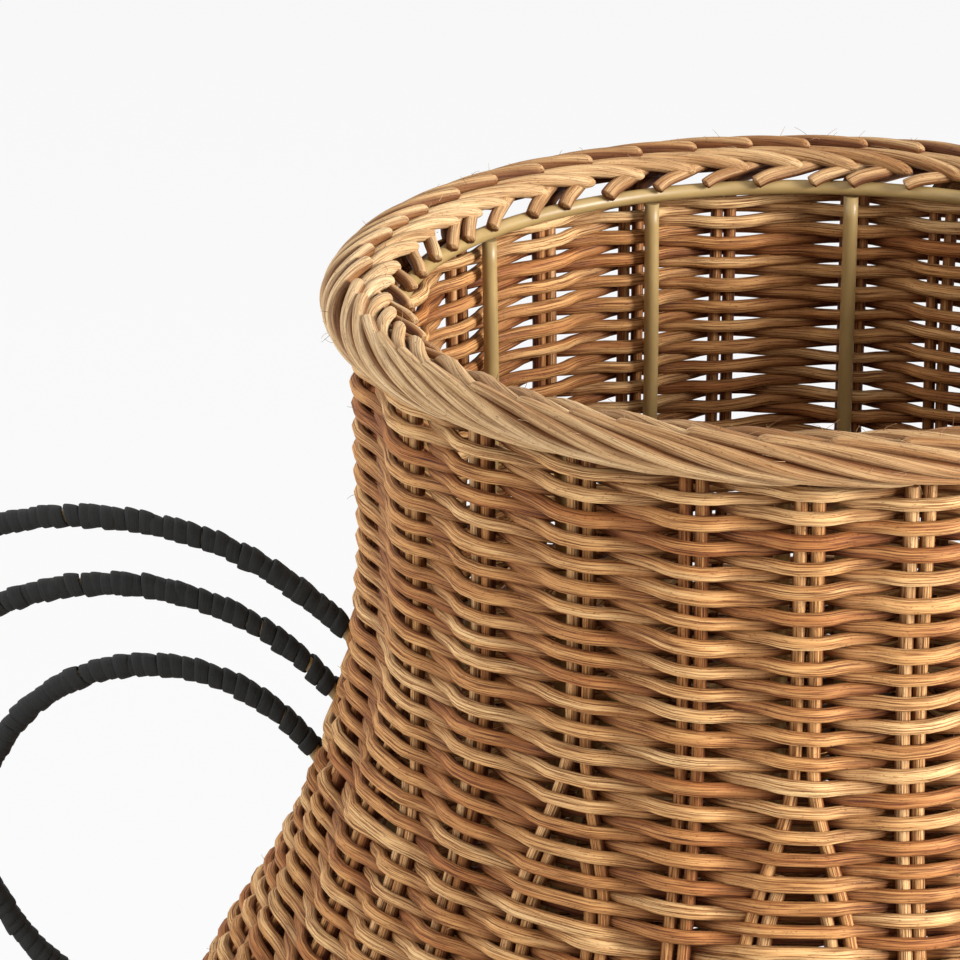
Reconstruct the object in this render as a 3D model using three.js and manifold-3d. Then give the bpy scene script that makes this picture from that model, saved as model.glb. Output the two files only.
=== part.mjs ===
// A rattan vase: a woven wall on a painted wire frame, a rolled border round its mouth,
// and three nested, strip-wrapped wire handles on each side. Millimetres, +Z up,
// origin on the floor at the middle of the base, handles along X.

import * as THREE from "three";
import { mergeVertices } from "three/addons/utils/BufferGeometryUtils.js";
import Module from "manifold-3d";

const wasm = await Module();
wasm.setup();

// Material sizes
const reedDiameter = 2.8;
const rodDiameter = 3.2;
const coreDiameter = 3;
const clearance = 0.3;

// Outline of the woven wall: its height, its radius from foot to collar, and the share of the
// height at which it has each radius
const wallHeight = 450;
const footRadius = 112;
const flankRadius = 150;
const flankShare = 0.245;
const bellyRadius = 161;
const bellyShare = 0.49;
const shoulderRadius = 133;
const shoulderShare = 0.645;
const throatRadius = 109.5;
const throatShare = 0.745;
const neckRadius = 95.5;
const neckShare = 0.855;
const collarRadius = 95;

// Base, border and stakes, and how far the weave stands out over a stake or a spoke
const baseThickness = 6;
const hubRadius = 24;
const borderWidth = 14;
const borderHeight = 9.5;
const borderOverhang = 5;
const ringGap = 1.3;
const stakeGap = 1;
const weaveRise = 2.6;
const rodCount = 12;
const stakesPerRod = 2;

// Handles: three arcs at one share of the wall's height, each with its own radius and with its
// centre at its own reach from the wall
const handleShare = 0.726;
const handleArcs = {
  outer: { radius: 73, reach: 36.5 },
  middle: { radius: 58, reach: 31 },
  inner: { radius: 40, reach: 23.5 },
};
const wrapThickness = 0.5;
const wrapEase = 0.4;
const wrapPitch = 11.8;
const wrapSlit = 0.9;

// How finely curves are cut into flats, and how far a cutting body runs past what it cuts
const wallSides = 2 * rodCount * stakesPerRod;
const borderSides = 10;
const rodSides = 6;
const coreStepDegrees = 13;
const wrapSteps = 6;
const marchDegrees = 0.25;
const past = 1;

// Sizes that follow from those above
const reedLayers = 3;
const wallThickness = reedLayers * reedDiameter;
const stakeThickness = reedDiameter;
const weaveThickness = wallThickness - stakeThickness - clearance;
const stakeWidth = 2 * reedDiameter + stakeGap;
const stakeCount = rodCount * stakesPerRod;
const bodyColumns = rodCount * (stakesPerRod + 1);
const legSpread = Math.PI / bodyColumns;
const ribSteps = 2 * bodyColumns;
const rodRadius = rodDiameter / 2;
const coreRadius = coreDiameter / 2;
const rodDepth = wallThickness + clearance + rodRadius;
const flatShare = Math.cos(Math.PI / wallSides);
const wrapInner = (coreRadius + wrapEase) / Math.cos(Math.PI / wrapSteps);
const wrapOuter = wrapInner + wrapThickness;

// The outline as a smooth curve, cut into straight stretches between stations that every layer
// shares, with more stations where it bends more
const outlineParts = [
  { radius: flankRadius, share: flankShare, steps: 2 },
  { radius: bellyRadius, share: bellyShare, steps: 3 },
  { radius: shoulderRadius, share: shoulderShare, steps: 3 },
  { radius: throatRadius, share: throatShare, steps: 1 },
  { radius: neckRadius, share: neckShare, steps: 2 },
  { radius: collarRadius, share: 1, steps: 2 },
];
const outline = [new THREE.Vector2(footRadius, 0)];
for (const { radius, share } of outlineParts) {
  outline.push(new THREE.Vector2(radius, share * wallHeight));
}
const outlineCurve = new THREE.SplineCurve(outline);
const stations = [outline[0]];
outlineParts.forEach(({ steps }, part) => {
  for (let i = 1; i <= steps; i += 1) {
    stations.push(outlineCurve.getPoint((part + i / steps) / outlineParts.length));
  }
});
const borderRadius = collarRadius + borderOverhang - borderWidth / 2;
const borderZ = wallHeight + clearance + borderHeight / 2;

// How squarely the wall faces outwards at each station: 1 where it stands upright
const facings = stations.map((station, i) => {
  const low = stations[Math.max(0, i - 1)];
  const high = stations[Math.min(stations.length - 1, i + 1)];
  return (high.y - low.y) / low.distanceTo(high);
});

// A value given at the stations, on the straight line between two of them
function between(z, values) {
  const above = stations.findIndex((station) => station.y >= z);
  const upper = Math.max(1, above < 0 ? stations.length - 1 : above);
  const low = stations[upper - 1].y;
  const share = (z - low) / (stations[upper].y - low);
  return values[upper - 1] + share * (values[upper] - values[upper - 1]);
}

const stationRadii = stations.map((station) => station.x);

// Outer radius of the wall at a height
function wallRadius(z) {
  return between(z, stationRadii);
}

// Radius of a layer that lies at a depth under the wall's outer face
function layerRadius(z, depth) {
  return wallRadius(z) - depth / between(z, facings);
}

// Station heights between two ends, with both ends added
function heightsBetween(low, high) {
  const least = reedDiameter;
  const within = stations.map((station) => station.y);
  const inner = within.filter((z) => z > low + least && z < high - least);
  return [low, ...inner, high];
}

// A point at an angle and radius about the vase's axis, moved sideways along the tangent
function around(angle, radius, sideways, z) {
  const x = radius * Math.cos(angle) - sideways * Math.sin(angle);
  const y = radius * Math.sin(angle) + sideways * Math.cos(angle);
  return new THREE.Vector3(x, y, z);
}

function geometryOf(points, triangles) {
  const geometry = new THREE.BufferGeometry().setFromPoints(points);
  geometry.setIndex(triangles);
  return geometry;
}

// Triangles between two rings of point numbers, each ring counted the same way round
function skin(lower, upper) {
  const triangles = [];
  lower.forEach((a, i) => {
    const next = (i + 1) % lower.length;
    triangles.push(a, lower[next], upper[next]);
    triangles.push(a, upper[next], upper[i]);
  });
  return triangles;
}

// A fan over a ring of point numbers
function lid(ring) {
  const triangles = [];
  for (let i = 1; i < ring.length - 1; i += 1) {
    triangles.push(ring[0], ring[i], ring[i + 1]);
  }
  return triangles;
}

// A closed body through a row of rings of points
function loft(rings) {
  const size = rings[0].length;
  const numbers = rings.map((ring, row) => ring.map((point, i) => row * size + i));
  const triangles = lid([...numbers[0]].reverse());
  for (let row = 1; row < rings.length; row += 1) {
    triangles.push(...skin(numbers[row - 1], numbers[row]));
  }
  triangles.push(...lid(numbers.at(-1)));
  return geometryOf(rings.flat(), triangles);
}

// A closed body through rings about the axis, with each end fanned from a point on the axis
function crowned(rings, lowZ, highZ) {
  const size = rings[0].length;
  const numbers = rings.map((ring, row) => ring.map((point, i) => row * size + i));
  const low = rings.length * size;
  const high = low + 1;
  const triangles = [];
  for (let row = 1; row < rings.length; row += 1) {
    triangles.push(...skin(numbers[row - 1], numbers[row]));
  }
  for (let i = 0; i < size; i += 1) {
    const next = (i + 1) % size;
    triangles.push(low, numbers[0][next], numbers[0][i]);
    triangles.push(high, numbers.at(-1)[i], numbers.at(-1)[next]);
  }
  const poles = [new THREE.Vector3(0, 0, lowZ), new THREE.Vector3(0, 0, highZ)];
  return geometryOf([...rings.flat(), ...poles], triangles);
}

// A body of revolution about Z from a closed profile of radius and height
function turned(profile) {
  const start = Math.PI / wallSides;
  const geometry = new THREE.LatheGeometry(profile, wallSides, start);
  geometry.rotateX(Math.PI / 2);
  return geometry;
}

function solidOf(geometry) {
  const bare = geometry.clone();
  bare.deleteAttribute("normal");
  bare.deleteAttribute("uv");
  const merged = mergeVertices(bare, 1e-3);
  const vertProperties = merged.attributes.position.array;
  const triVerts = new Uint32Array(merged.index.array);
  return new wasm.Manifold(new wasm.Mesh({ numProp: 3, vertProperties, triVerts }));
}

function geometryOfSolid(solid) {
  const { vertProperties, triVerts } = solid.getMesh();
  const geometry = new THREE.BufferGeometry();
  geometry.setAttribute("position", new THREE.BufferAttribute(vertProperties, 3));
  geometry.setIndex(new THREE.BufferAttribute(triVerts, 1));
  return geometry;
}

// Finishes, as the photograph shows them
const finishes = {
  weave: { color: 0xb98552, roughness: 0.62, metalness: 0 },
  stake: { color: 0xa06c3c, roughness: 0.65, metalness: 0 },
  border: { color: 0xc7a173, roughness: 0.6, metalness: 0 },
  frame: { color: 0xb0a06c, roughness: 0.4, metalness: 0.2 },
  wrap: { color: 0x1d1b1a, roughness: 0.75, metalness: 0 },
};

const vase = new THREE.Group();

function add(name, geometry, finish, owner = vase) {
  const material = new THREE.MeshStandardMaterial(finishes[finish]);
  geometry.computeVertexNormals();
  const mesh = new THREE.Mesh(geometry, material);
  mesh.name = name;
  owner.add(mesh);
}

// One handle wire: an arc in the XZ plane
const handleZ = handleShare * wallHeight;

function arcPoint(arc, turn, out, sideways) {
  const x = wallRadius(handleZ) + arc.reach + (arc.radius + out) * Math.cos(turn);
  const z = handleZ + (arc.radius + out) * Math.sin(turn);
  return new THREE.Vector3(x, sideways, z);
}

function arcRing(arc, turn, thick) {
  return Array.from({ length: rodSides }, (unused, i) => {
    const roll = (i / rodSides) * 2 * Math.PI;
    return arcPoint(arc, turn, thick * Math.cos(roll), thick * Math.sin(roll));
  });
}

// The furthest turn, up or down from the arc's outermost point, at which a ring is still clear
function lastClearTurn(arc, thick, way, isClear) {
  const step = way * THREE.MathUtils.degToRad(marchDegrees);
  let turn = 0;
  while (arcRing(arc, turn + step, thick).every(isClear)) {
    turn += step;
  }
  return turn;
}

function clearOfRods(point) {
  const depth = wallThickness + clearance;
  return point.x > layerRadius(Math.min(point.z, wallHeight), depth) + clearance;
}

// Tube of a handle wire between two turns, a little thicker for the hole that it passes through
function arcTube(arc, from, to, thick) {
  const steps = Math.ceil((to - from) / THREE.MathUtils.degToRad(coreStepDegrees));
  const rings = [];
  for (let i = 0; i <= steps; i += 1) {
    rings.push(arcRing(arc, from + ((to - from) * i) / steps, thick));
  }
  return loft(rings);
}

const wires = Object.entries(handleArcs).map(([place, arc]) => {
  const up = lastClearTurn(arc, coreRadius, 1, clearOfRods);
  const down = lastClearTurn(arc, coreRadius, -1, clearOfRods);
  return { place, arc, up, down };
});

// Columns of the weave: in the neck one to a pair of stakes, and below the place where the pairs
// at the rods part, one to a parted half as well
const highestWire = Math.max(...wires.map(({ arc, up }) => arcPoint(arc, up, 0, 0).z));
const crotch = stations.find((station) => station.y > highestWire + stakeWidth).y;

function isColumn(step, z) {
  return z < crotch ? step % 2 === 1 : step % (ribSteps / stakeCount) === 0;
}

// Outer radius of the wall at a step round it: the weave stands out over a column of stakes
function ribRadius(step, z) {
  return wallRadius(z) - (isColumn(step % ribSteps, z) ? 0 : weaveRise);
}

function clearOfWall(point) {
  const step = (Math.atan2(point.y, point.x) / legSpread + ribSteps) % ribSteps;
  const below = Math.floor(step);
  const faces = stations.map(({ y }) => {
    return THREE.MathUtils.lerp(ribRadius(below, y), ribRadius(below + 1, y), step - below);
  });
  return Math.hypot(point.x, point.y) > between(Math.min(point.z, wallHeight), faces) + clearance;
}

// The woven wall: a shell with a rib at each column, and with a hole for each handle wire
const ribNumbers = Array.from({ length: ribSteps }, (unused, step) => step);
const ribRings = stations.map(({ y }) => {
  return ribNumbers.map((step) => around(step * legSpread, ribRadius(step, y), 0, y));
});

// Its hollow has a flat behind each stake, so the corners lie half a flat to either side
function hollowRing(radius, z) {
  return Array.from({ length: wallSides }, (unused, i) => {
    const angle = ((i + 0.5) / wallSides) * 2 * Math.PI;
    return around(angle, radius, 0, z);
  });
}

const hollowRadii = stations.map(({ y }) => layerRadius(y, weaveThickness));
const hollowRings = [
  hollowRing(hollowRadii[0], -past),
  ...stations.map(({ y }, i) => hollowRing(hollowRadii[i], y)),
  hollowRing(hollowRadii.at(-1), wallHeight + past),
];
const hollow = solidOf(crowned(hollowRings, -past, wallHeight + past));
const halfTurn = new THREE.Matrix4().makeRotationZ(Math.PI);
const holeRadius = coreRadius + clearance / Math.cos(Math.PI / rodSides);
let wall = solidOf(crowned(ribRings, 0, wallHeight)).subtract(hollow);
for (const { arc, up, down } of wires) {
  const hole = arcTube(arc, down, up, holeRadius);
  wall = wall.subtract(solidOf(hole));
  wall = wall.subtract(solidOf(hole.clone().applyMatrix4(halfTurn)));
}
add("woven_wall", geometryOfSolid(wall), "weave");

// The woven base: a disc inside the wall's foot, flat below and with a rib over each spoke above
const baseRadius = layerRadius(0, weaveThickness) * flatShare - clearance;

function baseRing(radius, zAt) {
  return ribNumbers.map((step) => around(step * legSpread, radius, 0, zAt(step)));
}

function baseTop(step) {
  return baseThickness - (isColumn(step, 0) ? 0 : weaveRise);
}

const baseRings = [
  baseRing(baseRadius, () => 0),
  baseRing(baseRadius, baseTop),
  baseRing(hubRadius, baseTop),
];
add("woven_base", crowned(baseRings, 0, baseThickness), "weave");

// The border: an oval roll on top of the wall
const borderProfile = [];
for (let i = 0; i <= borderSides; i += 1) {
  const roll = ((i % borderSides) / borderSides) * 2 * Math.PI;
  const radius = borderRadius + (borderWidth / 2) * Math.cos(roll);
  borderProfile.push(new THREE.Vector2(radius, borderZ + (borderHeight / 2) * Math.sin(roll)));
}
add("rim_border", turned(borderProfile), "border");

// The frame: a ring under the border's inner edge, a ring on the base, and rods between them
function frameRing(name, radius, z) {
  const geometry = new THREE.TorusGeometry(radius, rodRadius, rodSides, wallSides);
  geometry.translate(0, 0, z);
  add(name, geometry, "frame");
}

function borderUnderside(radius) {
  const share = Math.min(1, Math.abs(radius - borderRadius) / (borderWidth / 2));
  return borderZ - (borderHeight / 2) * Math.sqrt(1 - share * share);
}

const topRingRadius = layerRadius(wallHeight, rodDepth) * flatShare;
const topRingZ = borderUnderside(topRingRadius + rodRadius) - ringGap - rodRadius;
const baseRingZ = baseThickness + clearance + rodRadius;
const baseRingRadius = layerRadius(baseRingZ, rodDepth) * flatShare;
frameRing("frame_top_ring", topRingRadius, topRingZ);
frameRing("frame_base_ring", baseRingRadius, baseRingZ);

function rodRing(angle, z) {
  const radius = layerRadius(z, rodDepth) * flatShare;
  return Array.from({ length: rodSides }, (unused, i) => {
    const roll = (i / rodSides) * 2 * Math.PI;
    const out = (rodRadius / between(z, facings)) * Math.cos(roll);
    return around(angle, radius + out, rodRadius * Math.sin(roll), z);
  });
}

const rodBottom = baseRingZ + rodRadius + clearance;
const rodTop = Math.min(wallHeight, topRingZ - rodRadius - clearance);
for (let i = 0; i < rodCount; i += 1) {
  const angle = (i / rodCount) * 2 * Math.PI;
  const rings = heightsBetween(rodBottom, rodTop).map((z) => rodRing(angle, z));
  add(`frame_rod_${String(i + 1).padStart(2, "0")}`, loft(rings), "frame");
}

// Stakes: reeds in pairs along the inside of the weave. A pair at a rod parts below the neck,
// either side of the handle wires, and a pair between two rods stays together.
const stakeOut = weaveThickness + clearance;
const stakeIn = stakeOut + stakeThickness;
const stakeHeights = heightsBetween(baseThickness + clearance, wallHeight);

function stakePoint(angle, z, sideways, depth) {
  return around(angle, layerRadius(z, depth) * flatShare, sideways, z);
}

function stakeRing(angle, z, from, to) {
  return [
    stakePoint(angle, z, from, stakeIn),
    stakePoint(angle, z, from, stakeOut),
    stakePoint(angle, z, to, stakeOut),
    stakePoint(angle, z, to, stakeIn),
  ];
}

function straightStake(angle) {
  const half = stakeWidth / 2;
  return loft(stakeHeights.map((z) => stakeRing(angle, z, -half, half)));
}

// Both reeds of a pair side by side, with the line between them kept as points of its own
function pairRing(angle, z) {
  const [leftIn, leftOut, rightOut, rightIn] = stakeRing(angle, z, -stakeWidth / 2, stakeWidth / 2);
  const middleOut = stakePoint(angle, z, 0, stakeOut);
  const middleIn = stakePoint(angle, z, 0, stakeIn);
  return [leftIn, leftOut, middleOut, rightOut, rightIn, middleIn];
}

// Two legs from the base up to the crotch, and both reeds together from there to the border
function partedStake(angle) {
  const points = [];
  const triangles = [];
  const place = (ring) => {
    const first = points.length;
    points.push(...ring);
    return ring.map((point, i) => first + i);
  };
  const pairs = stakeHeights.filter((z) => z >= crotch).map((z) => place(pairRing(angle, z)));
  const [leftIn, leftOut, middleOut, rightOut, rightIn, middleIn] = pairs[0];
  const legTops = [
    [-legSpread, [leftIn, leftOut, middleOut, middleIn]],
    [legSpread, [middleIn, middleOut, rightOut, rightIn]],
  ];
  for (const [spread, legTop] of legTops) {
    const quarter = stakeWidth / 4;
    const legHeights = stakeHeights.filter((z) => z < crotch);
    const rings = legHeights.map((z) => place(stakeRing(angle + spread, z, -quarter, quarter)));
    rings.push(legTop);
    triangles.push(...lid([...rings[0]].reverse()));
    rings.slice(1).forEach((ring, i) => triangles.push(...skin(rings[i], ring)));
  }
  pairs.slice(1).forEach((ring, i) => triangles.push(...skin(pairs[i], ring)));
  triangles.push(...lid(pairs.at(-1)));
  return geometryOf(points, triangles);
}

for (let i = 0; i < stakeCount; i += 1) {
  const angle = (i / stakeCount) * 2 * Math.PI;
  const parted = i % stakesPerRod === 0;
  const geometry = parted ? partedStake(angle) : straightStake(angle);
  add(`stake_${String(i + 1).padStart(2, "0")}`, geometry, "stake");
}

// A strip wound round a handle wire, as one unbroken band with a slit between its loops
function wrapRings(arc, from, to) {
  const length = (to - from) * arc.radius;
  const loops = Math.max(2, Math.round(length / wrapPitch));
  const band = (length - loops * wrapSlit) / (loops + 1);
  const travel = length - band;
  const steps = loops * wrapSteps;
  const corners = [
    [0, wrapInner],
    [band, wrapInner],
    [band, wrapOuter],
    [0, wrapOuter],
  ];
  const rings = [];
  for (let i = 0; i <= steps; i += 1) {
    const roll = (i / wrapSteps) * 2 * Math.PI;
    const ring = corners.map(([along, thick]) => {
      const turn = from + ((travel * i) / steps + along) / arc.radius;
      return arcPoint(arc, turn, thick * Math.cos(roll), thick * Math.sin(roll));
    });
    rings.push(ring);
  }
  return rings;
}

// Least distance between the facing edges of neighbouring loops, on points along both edges
function leastSlit(rings) {
  const pointsPerStep = 8;
  const edge = (corner) => {
    const points = [];
    for (let i = 1; i < rings.length; i += 1) {
      for (let j = 0; j < pointsPerStep; j += 1) {
        points.push(rings[i - 1][corner].clone().lerp(rings[i][corner], j / pointsPerStep));
      }
    }
    return points;
  };
  const loop = wrapSteps * pointsPerStep;
  const [backInner, frontInner, frontOuter, backOuter] = rings[0].map((point, i) => edge(i));
  let least = Infinity;
  for (const [ahead, behind] of [[frontInner, backInner], [frontOuter, backOuter]]) {
    ahead.slice(0, -loop).forEach((point, i) => {
      for (let j = i + loop / 2; j < Math.min(behind.length, i + loop * 1.5); j += 1) {
        least = Math.min(least, point.distanceTo(behind[j]));
      }
    });
  }
  return least;
}

for (const side of ["right", "left"]) {
  const handle = new THREE.Group();
  handle.rotation.z = side === "right" ? 0 : Math.PI;
  vase.add(handle);
  for (const { place, arc, up, down } of wires) {
    const top = lastClearTurn(arc, wrapOuter, 1, clearOfWall);
    const bottom = lastClearTurn(arc, wrapOuter, -1, clearOfWall);
    const rings = wrapRings(arc, bottom, top);
    add(`${side}_handle_${place}_core`, arcTube(arc, down, up, coreRadius), "frame", handle);
    add(`${side}_handle_${place}_wrap`, loft(rings), "wrap", handle);
    console.log(`${side} ${place} wrap: least gap to itself ${leastSlit(rings).toFixed(2)} mm`);
  }
}

export default vase;
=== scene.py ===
# %% [markdown]
# # A rattan vase, woven reed by reed
# The vase has a wall of round rattan woven on a painted wire frame, a rolled border round its
# mouth and three wrapped wire handles on each side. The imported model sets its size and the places
# of its pieces. This lesson dresses it: each reed becomes a real tube, and each finish a node
# material.

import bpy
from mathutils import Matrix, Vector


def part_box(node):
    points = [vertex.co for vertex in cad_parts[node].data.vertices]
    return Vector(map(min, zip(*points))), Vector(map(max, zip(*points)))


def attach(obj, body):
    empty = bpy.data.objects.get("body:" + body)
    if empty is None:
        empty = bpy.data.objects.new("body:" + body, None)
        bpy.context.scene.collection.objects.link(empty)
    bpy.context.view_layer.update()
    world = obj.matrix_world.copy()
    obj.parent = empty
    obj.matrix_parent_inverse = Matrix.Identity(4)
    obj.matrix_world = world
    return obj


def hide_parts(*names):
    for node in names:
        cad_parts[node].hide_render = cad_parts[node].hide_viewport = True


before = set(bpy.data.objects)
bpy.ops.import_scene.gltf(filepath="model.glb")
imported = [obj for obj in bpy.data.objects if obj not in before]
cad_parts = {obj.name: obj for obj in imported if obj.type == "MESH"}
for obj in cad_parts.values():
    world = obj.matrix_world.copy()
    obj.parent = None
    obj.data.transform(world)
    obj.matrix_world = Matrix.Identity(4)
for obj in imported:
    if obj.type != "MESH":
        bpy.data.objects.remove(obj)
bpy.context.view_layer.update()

# %% [markdown]
# ## Units
# Blender works in metres here, and reeds are easier to think of in millimetres, so lengths are
# written as so many MM. numpy does the sums for all the reeds of a piece at once.

# %% Units and tools
import math

import bpy
import numpy as np
from mathutils import Vector

MM = 0.001
DEGREE = math.pi / 180


def linear(red, green, blue):
    """A colour as it is read off a screen, 0 to 255, as the linear values that shaders take."""
    shares = [c / 255 for c in (red, green, blue)]
    return tuple(s / 12.92 if s <= 0.04045 else ((s + 0.055) / 1.055) ** 2.4 for s in shares) + (1,)


print("straw on a screen is", [round(c, 2) for c in linear(232, 192, 136)], "to a shader")

# %% [markdown]
# ## Camera
# The picture is a close look at the mouth and one shoulder of the vase, from a little above it.
# A long lens keeps the ovals flat. The camera's place and its heading are in the vase's own
# frame, so nothing has to be moved to fit the picture.

# %% Place the camera
CAMERA_AT = Vector((0.0448, -0.8548, 0.742))
CAMERA_HEADING = 7.57 * DEGREE
CAMERA_DIP = 20.95 * DEGREE
CAMERA_LENS = 168.75

camera = bpy.data.objects.new("camera", bpy.data.cameras.new("camera"))
bpy.context.collection.objects.link(camera)
camera.data.lens = CAMERA_LENS
camera.data.sensor_width = 36
camera.data.clip_start = 0.01
camera.location = CAMERA_AT
looking = Vector((
    -math.sin(CAMERA_HEADING) * math.cos(CAMERA_DIP),
    math.cos(CAMERA_HEADING) * math.cos(CAMERA_DIP),
    -math.sin(CAMERA_DIP),
))
camera.rotation_euler = looking.to_track_quat("-Z", "Y").to_euler()
bpy.context.scene.camera = camera
bpy.context.scene.view_settings.view_transform = "Standard"
print("camera looks along", tuple(round(c, 3) for c in looking))

# %% [markdown]
# ## Nodes in a few words
# Every finish below is a small tree of shader nodes. Two helpers keep the trees readable: one
# adds a node and fills its sockets with values or with other nodes' outputs, and one starts a
# new material.


# %% Helpers for shader nodes
def add_node(tree, kind, inputs=None, **settings):
    """A new node; inputs maps sockets to values or to the outputs that feed them."""
    made = tree.nodes.new("ShaderNode" + kind)
    for name, value in settings.items():
        setattr(made, name, value)
    for socket, value in (inputs or {}).items():
        if isinstance(value, bpy.types.NodeSocket):
            tree.links.new(value, made.inputs[socket])
        else:
            made.inputs[socket].default_value = value
    return made


def new_finish(name):
    """A material with its node tree and the surface shader that it ends in."""
    material = bpy.data.materials.new(name)
    material.use_nodes = True
    tree = material.node_tree
    return material, tree, tree.nodes["Principled BSDF"]


print("node helpers are ready")

# %% [markdown]
# ## Floor and light
# The vase stands on a plain white floor under soft studio light: a pale room, a lamp to the left,
# one behind on the left, and a strong one low on the right that shines across into the mouth.
# The floor is nearly white to the camera, straight or mirrored in a shiny surface, but it still
# takes the vase's shadow and sends plain light back up. Near the vase more of its true shade is
# kept, so that the vase stands on it.

# %% Floor
FLOOR_HALF = 8.0
FLOOR_CORNERS = ((-1, -1), (1, -1), (1, 1), (-1, 1))
floor_mesh = bpy.data.meshes.new("floor")
floor_points = [(x * FLOOR_HALF, y * FLOOR_HALF, 0) for x, y in FLOOR_CORNERS]
floor_mesh.from_pydata(floor_points, [], [(0, 1, 2, 3)])
floor = bpy.data.objects.new("floor", floor_mesh)
bpy.context.collection.objects.link(floor)
print("the floor is", 2 * FLOOR_HALF, "m wide")

# %% Finish of the floor
BACKGROUND = 0.945
SHADE_NEAR, SHADE_FAR = 0.2, 0.6
GLOW_NEAR, GLOW_FAR = 0.6, 0.9


def seen_plainly(tree):
    """1 for rays that show the background to the camera, straight or in a shiny or clear surface."""
    rays = add_node(tree, "LightPath").outputs
    bent = {0: rays["Is Glossy Ray"], 1: rays["Is Transmission Ray"]}
    shiny = add_node(tree, "Math", bent, operation="MAXIMUM").outputs[0]
    straight = rays["Is Camera Ray"]
    return add_node(tree, "Math", {0: straight, 1: shiny}, operation="MAXIMUM").outputs[0]


floor_finish, tree, shader = new_finish("floor_white")
shader.inputs["Base Color"].default_value = (0.8, 0.8, 0.8, 1)
shader.inputs["Roughness"].default_value = 0.9
glow = add_node(tree, "Emission", {"Color": (BACKGROUND, BACKGROUND, BACKGROUND, 1), "Strength": 1.0})
place = add_node(tree, "NewGeometry").outputs["Position"]
away = add_node(tree, "VectorMath", {0: place}, operation="LENGTH").outputs["Value"]
near_to_far = {"From Min": SHADE_NEAR, "From Max": SHADE_FAR, "To Min": GLOW_NEAR, "To Max": GLOW_FAR}
share = add_node(tree, "MapRange", {"Value": away, **near_to_far}).outputs[0]
clear = add_node(tree, "Math", {0: seen_plainly(tree), 1: share}, operation="MULTIPLY")
blend = add_node(tree, "MixShader", {0: clear.outputs[0]})
tree.links.new(shader.outputs[0], blend.inputs[1])
tree.links.new(glow.outputs[0], blend.inputs[2])
tree.links.new(blend.outputs[0], tree.nodes["Material Output"].inputs["Surface"])
floor_mesh.materials.append(floor_finish)
print("the floor keeps", round(1 - GLOW_NEAR, 2), "of its own shade beside the vase")

# %% Room light and lamps
ROOM_LEVEL = 0.68
VASE_MIDDLE = (0, 0, 0.38)
world = bpy.data.worlds.new("room")
bpy.context.scene.world = world
world.use_nodes = True
tree = world.node_tree
levels = {"Value": seen_plainly(tree), "To Min": ROOM_LEVEL, "To Max": BACKGROUND}
level = add_node(tree, "MapRange", levels)
tree.links.new(level.outputs[0], tree.nodes["Background"].inputs["Strength"])
tree.nodes["Background"].inputs["Color"].default_value = (1, 1, 1, 1)


def soft_lamp(name, at, size, watts):
    """A square area lamp that faces the vase."""
    lamp = bpy.data.objects.new(name, bpy.data.lights.new(name, "AREA"))
    bpy.context.collection.objects.link(lamp)
    lamp.data.size = size
    lamp.data.energy = watts
    lamp.location = at
    lamp.rotation_euler = (Vector(VASE_MIDDLE) - Vector(at)).to_track_quat("-Z", "Y").to_euler()


soft_lamp("lamp_left", (-1.9, -0.9, 1.2), size=1.4, watts=18)
soft_lamp("lamp_behind", (-1.6, 1.0, 1.7), size=1.4, watts=13)
soft_lamp("lamp_right", (2.15, -0.7, 1.15), size=0.8, watts=106)

# %% [markdown]
# ## The outline of the wall
# The wall is a body of revolution: a foot, a full belly, a shoulder that draws in, and a straight
# neck. The same few radii, at the same shares of the height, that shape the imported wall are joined
# here by the same smooth curve. It is then measured along its slope, because a weaver packs rows
# along the wall and not by height.

# %% Radii and heights of the wall
WALL_HEIGHT = 450 * MM
WALL_RADII = np.array([112, 150, 161, 133, 109.5, 95.5, 95]) * MM
WALL_SHARES = np.array([0, 0.245, 0.49, 0.645, 0.745, 0.855, 1])
OUTLINE_STEPS = 120


def smooth_line(points, steps):
    """Points along the curve that passes through all of these points, steps to a stretch."""
    before = np.vstack([points[:1], points[:-2]])
    after = np.vstack([points[2:], points[-1:]])
    share = np.linspace(0, 1, steps, endpoint=False)[:, None]
    line = []
    for a, b, c, d in zip(before, points[:-1], points[1:], after):
        pull_b, pull_c = (c - a) / 2, (d - b) / 2
        cubic = 2 * (b - c) + pull_b + pull_c
        square = -3 * (b - c) - 2 * pull_b - pull_c
        line.append(((cubic * share + square) * share + pull_b) * share + b)
    return np.vstack(line + [points[-1:]])


corners = np.stack([WALL_RADII, WALL_SHARES * WALL_HEIGHT], axis=1)
outline = smooth_line(corners, OUTLINE_STEPS)[::-1]
steps_down = np.linalg.norm(np.diff(outline, axis=0), axis=1)
outline_slope = np.concatenate([[0], np.cumsum(steps_down)])
along = np.gradient(outline, axis=0)
along /= np.linalg.norm(along, axis=1, keepdims=True)
outline_out = np.stack([-along[:, 1], along[:, 0]], axis=1)
SLOPE_LENGTH = outline_slope[-1]
print("the wall is", round(SLOPE_LENGTH / MM), "mm long down its slope")


# %% Points of the wall by slope, angle and depth
def turned(radius, angle, height):
    """Points at a radius and an angle about the vase's axis, and at a height."""
    radius, angle, height = np.broadcast_arrays(radius, angle, height)
    return np.stack([radius * np.cos(angle), radius * np.sin(angle), height], axis=-1)


def at_slope(slope, pairs):
    """Pairs given along the outline, read at a distance down the slope."""
    return [np.interp(slope, outline_slope, pairs[:, i]) for i in (0, 1)]


def wall_place(slope, depth):
    """Radius and height at a distance down the slope and a depth under the outer face."""
    radius, height = at_slope(slope, outline)
    out_radius, out_height = at_slope(slope, outline_out)
    return radius - depth * out_radius, height - depth * out_height


def wall_point(angle, slope, depth):
    radius, height = wall_place(slope, depth)
    return turned(radius, angle, height)


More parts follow.
